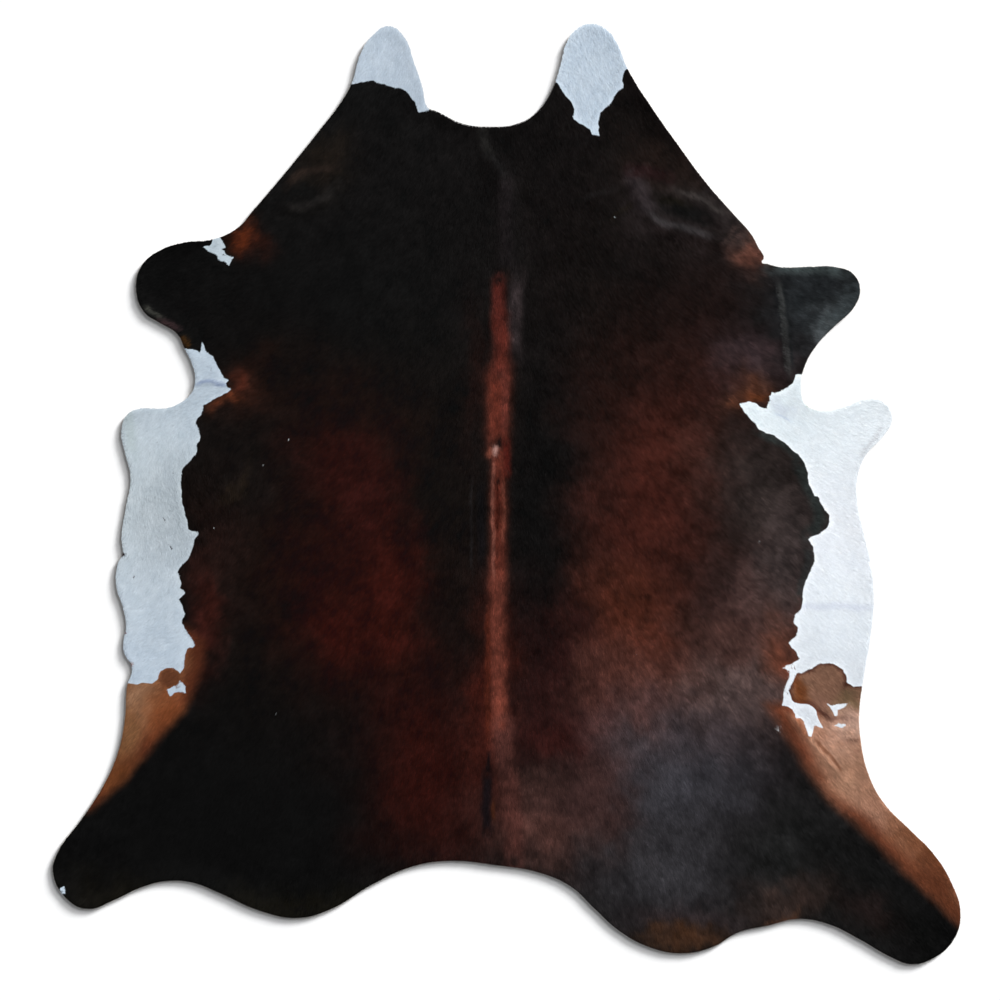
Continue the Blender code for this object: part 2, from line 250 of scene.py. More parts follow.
# Stripes of colour: colour, strength, half width in cm, how far its ends fade in cm, the line in cm.
STRIPES = {
    "ridge of the neck": ((32, 28, 29), 0.9, 1.6, 5, ((0, 75), (0, 66), (0.1, 58), (0.4, 51))),
    "parting over the neck": ((33, 32, 31), 0.9, 1.1, 1, ((-5.4, 85), (-4.9, 80.8), (-3.9, 78.2))),
    "thin end of that parting": ((28, 27, 27), 0.8, 0.5, 1, ((-3.9, 78.4), (-1.9, 75.9), (-0.4, 73.4))),
    "grey edge over the withers": ((52, 44, 45), 0.95, 1.6, 5, (
        (2.8, 51), (2.2, 46), (2, 41), (1.9, 36), (1.9, 31.5),
    )),
    "dark end over the withers": ((30, 23, 21), 0.9, 1.0, 1, ((-0.2, 51), (0.2, 49.5))),
    "red stripe over the withers": ((74, 33, 28), 1.0, 1.35, 2, ((-1.7, 49.5), (-1.6, 44), (-1.4, 38))),
    "red stripe over the shoulders": ((84, 38, 31), 1.0, 1.8, 3, ((-1.4, 41), (-1.2, 34), (-1.4, 27))),
    "red stripe down the back": (SORREL, 1.0, 2.5, 5, ((-1.5, 29), (-1.7, 20), (-1.9, 11))),
    "pale right side of that stripe": ((104, 52, 44), 0.7, 0.8, 4, ((-0.1, 30), (-0.3, 22), (-0.4, 13))),
    "red stripe over the loin": ((86, 41, 32), 1.0, 1.8, 4, (
        (-1.6, 12), (-1.6, 0), (-1.6, -10), (-1.8, -21),
    )),
    "dark red right of the pale spot": ((62, 22, 18), 0.8, 0.9, 1, ((0.1, 12), (0.2, 5))),
    "pink stripe over the croup": ((106, 55, 44), 1.0, 1.9, 9, (
        (-1.9, -15), (-2, -30), (-1.8, -42), (-1.6, -59),
    )),
    "orange left side of that stripe": ((76, 34, 24), 0.8, 0.6, 7, (
        (-3.9, -24), (-4.1, -36), (-4.2, -48), (-4.2, -58),
    )),
    "brown stripe of the tail head": ((78, 46, 41), 0.9, 2.1, 3, (
        (-0.6, -53), (-0.2, -60), (0.8, -68), (1.6, -76), (1.8, -84),
    )),
    "thin top of the dark split": ((22, 16, 17), 0.9, 0.45, 1, ((-3.9, -59.2), (-4.1, -64))),
    "dark split before the tail": ((22, 17, 19), 1.0, 1.1, 2, ((-4.2, -64), (-4.4, -69), (-4.5, -77.5))),
    "orange hairs beside the split": ((64, 34, 22), 0.8, 0.4, 1, ((-2.7, -70), (-2.7, -75))),
    "jet beside the stripe": (JET, 0.6, 0.9, 6, ((-5.7, 4), (-5.7, -6), (-5.6, -18))),
    "pale line left of the back": ((30, 28, 29), 0.7, 0.3, 8, ((-7.8, 6), (-7.9, -6), (-7.7, -20))),
    "pale edge of the stripe": ((112, 68, 58), 0.8, 0.35, 3, ((-3, 9), (-2.9, 0), (-2.9, -12), (-3, -20))),
    "pale strand in the stripe": ((112, 62, 50), 0.8, 0.35, 3, ((-0.6, 4), (-0.5, -3), (-0.7, -12))),
    "dark hairs in the stripe": ((54, 21, 15), 0.8, 0.3, 2, ((-1.9, 3), (-1.8, -3), (-1.9, -9))),
    "orange spot on the stripe": ((122, 68, 54), 0.9, 0.7, 0, ((-4, 9.2), (-3.5, 10.2))),
    "pale spot on the stripe": ((158, 122, 114), 0.95, 0.6, 0, ((-2.6, 9.5), (-2.5, 10.7))),
    "notch in the stripe": ((24, 15, 14), 0.95, 0.35, 0, ((-1.4, 11.6), (-1.4, 12.6))),
    "speck on the stripe": ((26, 14, 12), 0.95, 0.35, 0, ((-1.8, 3.4), (-1.8, 2.8))),
    # Painted sheen along the crest of the right shoulder's wrinkle, and at its head in the next stripe.
    "painted sheen on the right shoulder's wrinkle": ((58, 55, 56), 0.85, 0.75, 5, (
        (32, 66.6), (33.2, 64.8), (35.3, 62.9), (37.6, 62), (40.8, 61.5), (43.4, 60.8), (45.7, 59.8),
        (48.8, 58.9),
    )),
    "painted sheen at the head of the right shoulder's wrinkle": ((54, 47, 49), 0.85, 2.3, 0, ((29.4, 72.6), (30.8, 70), (32.2, 67.4))),
    # Painted sheen along the crest of the right shoulder's second wrinkle, and on its spur two stripes on.
    "painted sheen on the right shoulder's second wrinkle": ((62, 57, 55), 0.85, 0.55, 5, (
        (37.5, 70.6), (39.9, 69.7), (41.6, 69.1), (44.3, 68.2), (47, 66.6), (51.5, 64.4),
    )),
    "painted sheen on the spur of the second wrinkle": ((46, 42, 42), 0.7, 0.35, 2, ((43.7, 68.2), (45.5, 69.4), (47, 70.6))),
    # Painted shade in the trough between the right shoulder's wrinkles.
    "painted shade between the right shoulder's wrinkles": ((21, 21, 21), 0.85, 1.6, 2, ((37, 66.4), (41, 65.2), (45.6, 63.6))),
    "olive above the second ridge": ((30, 27, 22), 0.8, 0.9, 2, ((34.5, 68.4), (38, 67.6), (41.5, 66.8))),
    "purple on the right shoulder": ((44, 27, 28), 0.8, 1.4, 2, ((28.5, 74.6), (32.5, 74.2), (37.5, 73))),
    "pale hairs at the right shoulder": ((78, 62, 58), 0.8, 0.35, 1, ((49.6, 57), (51.2, 59.4), (53, 62))),
    "more pale hairs at the right shoulder": ((78, 60, 56), 0.8, 0.3, 1, (
        (51.4, 56.6), (52.8, 58.8), (54.4, 60.8),
    )),
    # Painted sheen along the crest of the wrinkle towards the neck.
    "painted sheen on the wrinkle towards the neck": ((30, 28, 28), 0.7, 0.5, 6, ((15, 67.5), (21, 69), (27, 70.8))),
    "olive line towards the neck": ((36, 31, 25), 0.8, 0.35, 1, ((24.2, 62.8), (26, 65.2), (29.4, 66.8))),
    # Painted sheen along the crest of the left shoulder's wrinkle.
    "painted sheen on the left shoulder's wrinkle": ((32, 30, 29), 0.85, 0.9, 2, (
        (-51, 66.6), (-48, 65.9), (-44.5, 67), (-41.6, 68.7), (-39.2, 71.4),
    )),
    "brown arc on the left shoulder": ((38, 30, 26), 0.85, 0.8, 2, (
        (-50.6, 70.8), (-48.6, 73.1), (-46.3, 74.4), (-42.8, 75), (-39, 75),
    )),
    # Painted highlight along the upturned rim of the left fore flap.
    "painted highlight along the left fore flap's rim": ((78, 78, 72), 0.8, 0.45, 1, (
        (-83, 43.3), (-81.3, 41.9), (-79, 40.8),
    )),
    "pink rim of the left fore flap": ((66, 48, 50), 0.8, 0.7, 1, (
        (-79.6, 39.9), (-77.4, 39.3), (-75.2, 38.4),
    )),
    "rust at the tip of the left flank": ((60, 38, 16), 0.9, 0.7, 0, ((-74.2, 36), (-73.2, 34.6))),
    # Painted highlight on the crest of the right fore flap's fold, then painted shadow on its far side.
    "painted highlight on the right fore flap's fold": ((60, 61, 60), 0.85, 0.4, 4, (
        (62.3, 49.8), (63.8, 40.5), (64.6, 33.2), (65, 26.6),
    )),
    "painted shadow on the far side of that fold": ((25, 27, 28), 0.8, 0.4, 2, (
        (63.5, 49), (64.9, 40.5), (65.6, 33.2), (65.8, 28.5),
    )),
    "smoke beside the right elbow's white": ((46, 52, 51), 0.8, 0.9, 2, (
        (57.5, 14.6), (61.5, 12.8), (65, 10.8), (67.6, 7.4),
    )),
    "smoke beside the right flank's white": ((44, 50, 49), 0.85, 1.3, 2, (
        (67.4, 7.4), (68.6, 3.4), (70.6, -0.6), (72.2, -4.4), (71.6, -7.2), (69.4, -9.2),
    )),
    "smoke below that": ((46, 50, 50), 0.7, 0.9, 2, (
        (69.2, -11.6), (69.8, -14.6), (68.4, -19), (67.2, -24),
    )),
    "ash rim of the right fore flap": (ASH, 0.9, 1.5, 3, ((61, 52.4), (70, 52.6), (78, 51.6))),
    "ash tip of the right fore flap": ((56, 62, 64), 0.8, 1.8, 2, ((79.5, 47), (77.5, 43), (74, 39.5))),
    # Painted highlight on the crest along the right hind flank; the stripe after it is painted shade on that
    # crest's far side.
    "painted highlight on the crest along the right hind flank": ((202, 154, 126), 0.9, 0.4, 2, (
        (69.9, -55.6), (71.9, -58.2), (74, -61), (76.5, -63.9),
    )),
    "shaded side of that crest": ((118, 76, 56), 0.8, 0.4, 2, (
        (70.9, -55.6), (72.9, -58.2), (75, -60.9), (77.5, -63.8),
    )),
    # Painted highlight on the crest beside the right flank's tooth.
    "painted highlight on the crest beside the right flank's tooth": ((176, 114, 84), 0.8, 0.4, 1, (
        (66.6, -51), (67.9, -52.9), (69.4, -55.2),
    )),
    # Painted shade in the two puckers at the right rim.
    "painted shade in the pucker at the right rim": ((122, 86, 72), 0.8, 0.3, 1, ((78.2, -56.6), (80, -56.2), (81.6, -56.2))),
    "painted shade in the second pucker at the right rim": ((128, 92, 78), 0.7, 0.3, 1, ((79.6, -59.2), (81.8, -58.8))),
}
STRIPE_HARDNESS = 3
STRIPE_STEP = 0.8  # cm, spacing of the points along a stripe
STRIPE_REACH = 2.5  # how many half widths from its line a stripe ends
STRIPE_END = 0.15  # how much of a fading stripe still shows right at its ends

# Tan areas with soft rims: rim colour, middle colour, rim's width and softness in cm, border in cm.
TAN_AREAS = {
    "left hind flank": ((80, 42, 28), (114, 74, 49), 4.0, 3.4, (
        (-69.7, -33.5), (-69.5, -39), (-71, -43.5), (-72.3, -46.5), (-74.6, -50), (-78.2, -54),
        (-82.4, -59.2), (-88.3, -66.2), (-95, -72), (-110, -80), (-110, -30), (-74, -30),
    )),
    "right hind flank": ((108, 60, 42), (168, 124, 102), 4.0, 4.0, (
        (59.6, -48.2), (62.5, -52), (65, -56.5), (67.8, -61), (71, -66), (75.2, -71.5), (80.5, -76),
        (86.5, -81.5), (91.6, -86.7), (98.4, -93), (104.5, -99), (112, -104), (112, -50), (84, -46),
    )),
    "patch below the right flank": ((78, 46, 37), (130, 96, 78), 1.0, 0.8, (
        (66.9, -40.6), (69.6, -40.1), (72.2, -38.5), (75.5, -38.5), (77.9, -40.2), (78.8, -43.1),
        (79.8, -43.8), (84, -43.8), (84, -51.5), (74, -52), (70, -48), (65.6, -48), (65.1, -44.6),
    )),
}
TAN_RIM_START = 0.3  # of the rim's width, how deep the middle colour starts

# Washes on the tan areas alone, read like WASHES.
TAN_WASHES = {
    "buff of the left hind flank": ((128, 97, 75), 0.9, -85.5, -46.3, 7, 3.8, 0),
    "olive of the left hind flank": ((116, 82, 55), 0.8, -88.5, -54, 3, 4, 0),
    "ginger of the left hind flank": ((112, 62, 36), 0.9, -76, -50, 5, 6, 40),
    "brown foot of the left hind flank": ((96, 56, 32), 0.9, -89, -64, 5, 5, 45),
    "ginger in the patch below the right flank": ((110, 62, 34), 0.95, 67.0, -44.5, 2.4, 3.0, 0),
    "pink in the patch below the right flank": ((146, 106, 90), 0.8, 73.0, -46.5, 1.8, 2.6, 0),
    "olive in the patch below the right flank": ((112, 92, 68), 0.8, 79.0, -48.5, 3.0, 2.6, 0),
    "dark corner of that patch": ((56, 30, 24), 0.9, 81.0, -45.0, 1.3, 0.9, 0),
    "fawn of the right hind flank": (FAWN, 0.95, 79, -55, 5, 3.5, 0),
    "buff of the right hind flank": (BUFF, 0.8, 80, -64, 6, 7, -50),
    "ginger of the right shank": ((116, 72, 48), 1.0, 98, -82, 10, 5, -50),
    "rust of the right shank": ((102, 58, 39), 1.0, 99, -91, 8, 5, -60),
}

# The white patches' borders in cm. Where a patch runs off the hide, its border does too.
WHITE_PATCHES = {
    "tip of the left neck lobe": (
        (-40, 94), (-35.8, 94.3), (-34.5, 94.6), (-32, 95), (-30.4, 95.3), (-29.8, 94.9), (-28, 94.4),
        (-26.4, 93.8), (-24, 93.6), (-22.8, 92.8), (-22, 91.6), (-21.1, 90.4), (-20.5, 89.2), (-20.1, 87.9),
        (-19.2, 88.1), (-18, 88.5), (-14, 90), (-14, 112), (-40, 112),
    ),
    "tip of the right neck lobe": (
        (8, 96), (11.9, 94.8), (12.4, 94), (13.2, 92.8), (13.7, 91.8), (15.1, 90.4), (15.6, 89),
        (15.8, 88.1), (15.4, 86.4), (16, 86), (18, 85), (19.3, 84), (20, 82.9), (21.5, 82.6), (21.2, 84),
        (21.5, 84.6), (21.1, 85.2), (21.2, 86), (21.7, 87.8), (23, 89), (24.4, 90.3), (24.8, 91.5),
        (25.1, 92.1), (26.3, 93), (27.1, 93.5), (26.8, 95.1), (26.8, 96.3), (27.4, 97.6), (28, 97.8),
        (34, 99), (34, 112), (8, 112),
    ),
    "splash on the left fore flap": (
        (-67, 60.5), (-66, 60.5), (-65.4, 58.4), (-64.9, 57.7), (-64.4, 56.9), (-65.3, 56.6), (-64.2, 55.3),
        (-62.2, 54.6), (-63, 54), (-63.7, 52.6), (-64.5, 53.4), (-66.2, 54.2), (-66.6, 55.1), (-68.7, 56.4),
        (-69.6, 57.2), (-68.2, 57.2), (-67.6, 57.8),
    ),
    "left flank": (
        (-74, 33.7), (-72.5, 33.4), (-71, 33.1), (-70.3, 32.3), (-69.9, 35.6), (-69.4, 34), (-69, 32.8),
        (-67.3, 32), (-66.7, 30.4), (-65.7, 28.6), (-65, 27.2), (-63.8, 26.4), (-64.4, 25.7), (-64.2, 24.8),
        (-63, 24.3), (-64.3, 23.5), (-66.3, 22.5), (-68, 21.4), (-69.7, 20.6), (-70, 18.6), (-71, 17.3),
        (-71.4, 16.7), (-70.6, 15.3), (-70.3, 13), (-71.1, 11.5), (-71.2, 9.5), (-72, 8.6), (-73, 7.3),
        (-74.3, 6), (-74.7, 4.6), (-74.7, 0), (-74.5, -2), (-73.9, -4.1), (-73.3, -6.5), (-73, -8),
        (-70.7, -8.7), (-71.7, -10.6), (-72.1, -12.4), (-72.8, -14.4), (-74.4, -16), (-75.6, -17.7),
        (-75, -19.4), (-74.6, -20.5), (-74.9, -21.3), (-73.8, -22.5), (-75.1, -24), (-74.4, -25.5),
        (-74, -27.5), (-74.6, -29.2), (-73.7, -30.7), (-73, -32), (-72.1, -33.6), (-71.6, -34.7),
        (-73.5, -35.4), (-74, -37.5), (-74.1, -39.7), (-75, -41.2), (-75.3, -40.5), (-76.3, -39.8),
        (-78, -39.9), (-79.4, -40.5), (-80, -42.3), (-81.3, -43.5), (-83.5, -43), (-85.3, -43.5),
        (-86.9, -43.2), (-95, -43.2), (-95, 33.9),
    ),
    "island below the left flank": (
        (-75.2, -42.4), (-74.3, -43.2), (-73.8, -44.2), (-73.6, -45.4), (-75.4, -45.4), (-76.4, -45.6),
        (-77.2, -46.4), (-77.6, -45.6), (-77.8, -44.8), (-76.6, -44.2), (-75.8, -43.3),
    ),
    "right flank": (
        (67.8, 27.5), (66.7, 27.6), (66.4, 26.7), (65.7, 25.7), (64.6, 24.7), (63.3, 23.8), (61.7, 23.4),
        (61.1, 23.8), (60.7, 22.4), (60.2, 20.5), (60.2, 19.8), (59.5, 19.8), (58.4, 20.4), (57.2, 21.1),
        (55.7, 21.5), (53.8, 20.9), (54.6, 19.2), (55.8, 17.8), (57.1, 16.7), (57.9, 15.5), (59.9, 14.2),
        (61.6, 13.7), (63.1, 12.7), (64.8, 11.6), (65.7, 10.4), (67.3, 9.3), (68.3, 7.8), (69.2, 6.3),
        (69.5, 5), (69.5, 3), (70.1, 1.5), (70.9, -0.3), (71.7, -0.3), (72.6, -2.1), (73.4, -3.2),
        (74.3, -4.5), (74.4, -6), (73.9, -7.3), (72.9, -8.2), (71.4, -9.2), (69.6, -10.1), (70.1, -11.4),
        (70.5, -11.9), (70.9, -13.5), (70.9, -15.1), (70.3, -16.7), (69.7, -18.4), (68.8, -20),
        (68.4, -21.9), (68.2, -24.4), (68.1, -26), (67.2, -26.9), (66.5, -27.5), (66.2, -29.3), (67, -30.5),
        (66.8, -32.4), (65, -34), (65.8, -35.2), (66.7, -36.3), (67.6, -37.7), (66, -38.7), (63.5, -39.8),
        (65.3, -40.4), (65.1, -41.8), (64.4, -43.4), (63.9, -45), (63.8, -47), (63.4, -48.5), (64.4, -48.7),
        (65.8, -49.2), (66.7, -51.3), (67.8, -51.1), (68.5, -52.2), (69, -53.7), (69.6, -55.4),
        (70.2, -55.6), (70.6, -54), (71.1, -53.1), (72.9, -53.6), (72, -51.7), (71.4, -49.8), (70.6, -48.7),
        (69.4, -48.2), (67.5, -48.1), (66.1, -47.9), (65.4, -46.8), (65.2, -45), (65.9, -43.2),
        (66.4, -41.6), (67, -40.8), (67.9, -41.2), (69.6, -40.3), (70.9, -39.5), (72.2, -38.8),
        (73.9, -38.6), (75.5, -38.8), (76.6, -39.4), (77.6, -40.2), (78.1, -41.4), (78.4, -43.1),
        (79.5, -43.9), (81.8, -44.1), (95, -44.1), (95, 28),
    ),
    "star below the right flank": (
        (73.8, -48), (75.2, -48.5), (76, -47.9), (77.3, -48.2), (79, -47.7), (77.4, -49), (76.3, -49.4),
        (76.2, -50.9), (75.4, -50.9), (75.1, -49.8),
    ),
    "tuft on the left hind shank": ((-102.3, -90.4), (-101.5, -89.9), (-101.2, -91.7), (-102.4, -91.6)),
    "smear below that star": (
        (76.3, -51.6), (77, -52.6), (78.4, -52.9), (77.2, -53.6), (75.3, -53.1), (76.3, -52.6),
    ),
}

# The white coat's colour by place: colour, x and y in cm.
WHITES = {
    "left neck lobe": ((178, 190, 202), -29, 101),
    "right neck lobe": ((198, 211, 223), 20, 97),
    "splash on the left fore flap": ((180, 192, 200), -66, 56),
    "left elbow": ((174, 187, 200), -70, 29),
    "left flank's flap": ((187, 198, 206), -82, 17),
    "left flank's middle": ((173, 182, 187), -83, 1),
    "left flank's lower part": ((180, 190, 198), -81, -20),
    "left flank's foot": ((176, 189, 202), -80, -38),
    "right elbow": ((231, 240, 244), 68, 22),
    "right flank's flap": ((239, 244, 248), 80, 14),
    "right flank's middle": ((241, 244, 249), 77, -6),
    "right flank's lower part": ((237, 243, 248), 76, -28),
    "right flank's foot": ((220, 225, 231), 70, -48),
}
WHITE_REACH = 12.0  # cm, how far each place's white is felt

# Stripes on the white coat, read like STRIPES.
WHITE_STRIPES = {
    # Painted shade in the crease of the left elbow.
    "crease in the left elbow": ((126, 140, 168), 0.7, 0.35, 1.5, (
        (-71.4, 25.4), (-69.6, 25.9), (-66.5, 25.7), (-63.8, 25.1),
    )),
    "dull streak of the left flap": ((166, 178, 180), 0.6, 1.3, 3, ((-87.6, 21), (-86.6, 15), (-86, 9))),
    "dull streak of the left flank": ((166, 176, 184), 0.5, 1.0, 2, ((-78.5, 9), (-77.6, 4), (-77, 0))),
    # Painted shade along the crease across the right flank's white.
    "painted shade along the right flank's crease": ((220, 226, 236), 0.8, 0.7, 1, (
        (67.5, -25.6), (76, -25.6), (84, -25.9),
    )),
    # Painted shade in a fold of the right elbow's white, then along that fold's line.
    "painted shade of the fold in the right elbow": ((216, 224, 234), 0.7, 1.1, 2, ((61.8, 21.6), (63, 19.8), (65.6, 18.9))),
    "painted shade along the right elbow's fold line": ((204, 214, 228), 0.8, 0.25, 1, ((61.6, 18.9), (63.5, 18), (65.8, 16.9))),
    "shaded rim of the right elbow": ((110, 132, 118), 0.8, 0.22, 1, (
        (68.6, 22), (69.6, 20.5), (71.6, 19.6),
    )),
    "shaded rim of the right flap": ((196, 196, 200), 0.5, 0.3, 2, (
        (87, 16), (84.8, 13), (82.6, 10.6), (81.2, 7.8),
    )),
}

# Round spots: colour, x, y and radius in cm.
SPOTS = {
    "dark notch at the left rim": ((52, 42, 46), -88.3, -13.5, 0.6),
    "purple hair at the left rim": ((104, 84, 104), -87.9, -31.6, 0.5),
    "brown hair at the left rim": ((122, 82, 80), -86.6, -39.2, 0.65),
    "brown hair below that": ((140, 112, 112), -87.2, -41.4, 0.35),
    "brown spot in the left flank": ((91, 55, 37), -77.3, -42.0, 2.2),
}
SPOT_SOFTNESS = 0.5  # cm, to either side of a spot's rim

# Flecks: colour, half width and half length in cm, turn in degrees to the left of straight up, places in cm.
FLECKS = {
    "white flecks": ((206, 212, 216), 0.17, 0.26, 0, (
        (-49.9, 12.7), (-55.9, 6.9), (-67.2, -7.8), (-52.9, -50.4), (25.1, 63.9), (58.2, -10.8),
        (30.1, -36.6), (62.6, -54),
    )),
    "dark flecks": ((50, 46, 50), 0.24, 0.85, 30, ((-78.5, -5.8), (-77.1, -12), (-76.4, 4.8))),
    "small dark flecks": ((76, 72, 78), 0.24, 0.36, 0, (
        (-80.3, 11.9), (-79.8, -18.6), (-67.8, 28.9), (-85.6, -18.9), (-80.9, -28.6), (32.7, -80.3),
    )),
}

# How far the markings wander from the tables' even lines: rows of how far and over what length, in cm.
WASH_WANDER = ((2.6, 9.0), (1.5, 3.4), (0.9, 1.3))
STRIPE_WANDER = ((0.28, 3.0), (0.14, 0.9))
BORDER_WANDER = ((0.12, 1.5), (0.16, 0.8))

# How much lighter or darker the dark coat is by place: rows of how much and over what length in cm.
MOTTLE = ((0.13, 4.5), (0.14, 1.8), (0.16, 0.7))
WHITE_MOTTLE = ((0.014, 5.0), (0.022, 1.4), (0.022, 0.7))  # the same for the dull white coat
DULLNESS = 70.0  # how many steps under full white that dull white is
# Where the dark coat is more even: how much of the mottle goes, then read like WASHES.
EVEN_PLACES = {
    "left thigh": (0.75, -64, -72, 26, 18, 0),
    "left shoulder": (0.4, -55, 44, 18, 12, 0),
    "right hip": (0.35, 37, -68, 20, 18, 0),
}
TAN_EVENNESS = 0.6  # how much of the mottle goes in the tan areas

# The random numbers that each kind of cloud starts from, which keep it the same in every run.
WASH_SEED = 100
STRIPE_SEED = 200
TAN_SEED = 300
MOTTLE_SEED = 400
WHITE_MOTTLE_SEED = 500
BORDER_SEED = 600
SEED_ACROSS = 50  # added for the second direction of a wander
CLOUD_KNOTS = 256  # how many random knots a cloud has each way before it repeats

# The shaders' pattern where a material doesn't give its own: strengths, and noises per metre.
PATTERN = {"Blotches": 0.5, "Grain": 0.3, "Blotch Size": 26.0, "Grain Size": 260.0}
PATTERN_ROUGHNESS = 0.62
BLOTCH_DETAIL = 5.0
GRAIN_DETAIL = 3.0

# The studio.
VIEW_WIDTH = 2.30  # metres of floor across the picture
VIEW_MIDDLE = (-0.0153, -0.0130)
LENS = 100.0
SENSOR = 36.0
FLOOR_HALF = 12.0  # metres from its middle to its sides
FLOOR_DROP = 0.3 * MM  # how far the floor lies under the hide
FLOOR_COLOUR = (0.9, 0.9, 0.9, 1.0)
BACKDROP_COLOUR = (0.95, 0.97, 1.0, 1.0)
BACKDROP_STRENGTH = 0.2


def place(points):
    """Points of a table in metres of the frame."""
    return (np.asarray(points, dtype=float) - HIDE_MIDDLE) * CM


def table_place(points):
    """Points in metres of the frame in a table's centimetres."""
    return points / CM + HIDE_MIDDLE


def linear(colour):
    """A colour as it looks, in 0 to 255 steps, as linear light by the usual curve of a display."""
    c = np.asarray(colour, dtype=float) / FULL_WHITE
    return np.where(c <= 0.04045, c / 12.92, ((c + 0.055) / 1.055) ** 2.4)


def rgba(colour):
    """A colour as it looks, as a shader takes it."""
    return (*linear(colour), 1.0)


def smooth(share):
    """A share from 0 to 1 with a soft start and a soft end."""
    share = np.clip(share, 0.0, 1.0)
    return share * share * (3.0 - 2.0 * share)


# --- Lines and places ---


def smooth_line(points, step, closed=False):
    """Points about step apart along the smooth curve through the given points."""
    curve = bpy.data.curves.new("smooth line", "CURVE")
    curve.dimensions = "3D"
    curve.resolution_u = CURVE_PARTS
    spline = curve.splines.new("BEZIER")
    spline.bezier_points.add(len(points) - 1)
    for knot, (x, y) in zip(spline.bezier_points, points):
        knot.co = (x, y, 0.0)
        knot.handle_left_type = knot.handle_right_type = "AUTO"
    spline.use_cyclic_u = closed
    guide = bpy.data.objects.new("smooth line", curve)
    mesh = bpy.data.meshes.new_from_object(guide)
    line = np.array([vertex.co[:2] for vertex in mesh.vertices])
    bpy.data.objects.remove(guide)
    bpy.data.curves.remove(curve)
    bpy.data.meshes.remove(mesh)
    return evenly_spaced(line, step, closed)


def evenly_spaced(line, step, closed=False):
    """Points about step apart along straight lines from point to point."""
    if closed:
        line = np.concatenate([line, line[:1]])
    along = np.concatenate([[0.0], np.cumsum(np.linalg.norm(np.diff(line, axis=0), axis=1))])
    places = np.linspace(0.0, along[-1], max(2, round(along[-1] / step) + 1))
    if closed:
        places = places[:-1]
    return np.stack([np.interp(places, along, line[:, axis]) for axis in (0, 1)], axis=1)


def step_aside(along):
    """The unit step to the right of each step along a line."""
    aside = np.stack([along[:, 1], -along[:, 0]], axis=1)
    return aside / np.linalg.norm(aside, axis=1)[:, None]


def distance_to_line(points, line):
    """The distance of each point from the nearest place on an open line of points."""
    nearest = np.full(len(points), np.inf)
    for start, end in zip(line[:-1], line[1:]):
        along = end - start
        share = ((points - start) @ along / (along @ along)).clip(0.0, 1.0)
        nearest = np.minimum(nearest, np.linalg.norm(points - start - share[:, None] * along, axis=1))
    return nearest


def distance_to_points(points, others):
    """The distance of each point from the nearest of the others."""
    tree = kdtree.KDTree(len(others))
    for i, (x, y) in enumerate(others):
        tree.insert((x, y, 0.0), i)
    tree.balance()
    return np.array([tree.find((x, y, 0.0))[2] for x, y in points])


def inside_loop(points, loop):
    """Which points lie inside a loop: a line from there to the right crosses it an odd number of times."""
    inside = np.zeros(len(points), dtype=bool)
    for start, end in zip(loop, np.roll(loop, -1, axis=0)):
        if start[1] != end[1]:
            spans = (start[1] > points[:, 1]) != (end[1] > points[:, 1])
            crossing = start[0] + (points[:, 1] - start[1]) * (end[0] - start[0]) / (end[1] - start[1])
            inside ^= spans & (points[:, 0] < crossing)
    return inside


def depth_inside(points, loop):
    """How deep each point is inside a loop: below zero outside it."""
    away = distance_to_line(points, np.concatenate([loop, loop[:1]]))
    return np.where(inside_loop(points, loop), away, -away)


def distance_to_spot(xy, x, y):
    """The distance of each point from one spot."""
    return np.hypot(xy[:, 0] - x, xy[:, 1] - y)


def on_turned_axes(right, up, degrees):
    """Steps to the right and up, seen along axes that are turned to the left by so many degrees."""
    c, s = math.cos(math.radians(degrees)), math.sin(math.radians(degrees))
    return right * c + up * s, up * c - right * s


def nearness(xy, x, y, reach):
    """How strongly a place is felt at each point: fully right there, and softly less around it."""
    return np.exp(-((xy[:, 0] - x) ** 2 + (xy[:, 1] - y) ** 2) / (2.0 * reach**2))


def blended(xy, rows, reach):
    """A value at each point, blended from rows of a value, x and y, each felt around its own place."""
    shares = np.stack([nearness(xy, x, y, reach) + FAINT for _, x, y in rows], axis=1)
    shares /= shares.sum(1)[:, None]
    return shares @ np.array([value for value, _, _ in rows], dtype=float)


# --- The hide's sheet ---


def packed_outline(node):
    """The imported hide's upper edge as a loop of points seen from above."""
    mesh = bmesh.new()
    mesh.from_mesh(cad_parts[node].data)
    bmesh.ops.remove_doubles(mesh, verts=mesh.verts, dist=SAME_POINT)
    upper = [edge for edge in mesh.edges if len({face.normal.z > FACING_UP for face in edge.link_faces}) == 2]
    beside = {}
    for edge in upper:
        for one, other in (edge.verts, reversed(edge.verts)):
            beside.setdefault(one, []).append(other)
    loop = [upper[0].verts[0], upper[0].verts[1]]
    while True:
        following = [vertex for vertex in beside[loop[-1]] if vertex is not loop[-2]][0]
        if following is loop[0]:
            break
        loop.append(following)
    points = np.array([vertex.co[:2] for vertex in loop])
    mesh.free()
    return points


def crease_lines():
    """Each crease as (height, half width, its crest's points), in metres."""
    return [
        (height * MM, half_width * CM, smooth_line(place(crest), CREASE_STEP))
        for height, half_width, crest in CREASES.values()
    ]


def crease_points(half_width, crest):
    """Points along a crease's crest and on both its sides."""
    aside = step_aside(np.gradient(crest, axis=0)) * half_width
    return np.concatenate([crest + aside * side for side in CREASE_SIDES])


def lift(points, from_edge, creases):
    """How high the flesh side is off the floor at each point."""
    height = CURL_HEIGHT * np.clip(1.0 - from_edge / CURL_REACH, 0.0, 1.0) ** 2
    for crest_height, half_width, crest in creases:
        share = 1.0 - (distance_to_line(points, crest) / (CREASE_FOOT * half_width)) ** 2
        height = height + crest_height * np.clip(share, 0.0, 1.0) ** 2
    return np.maximum(height, 0.0)


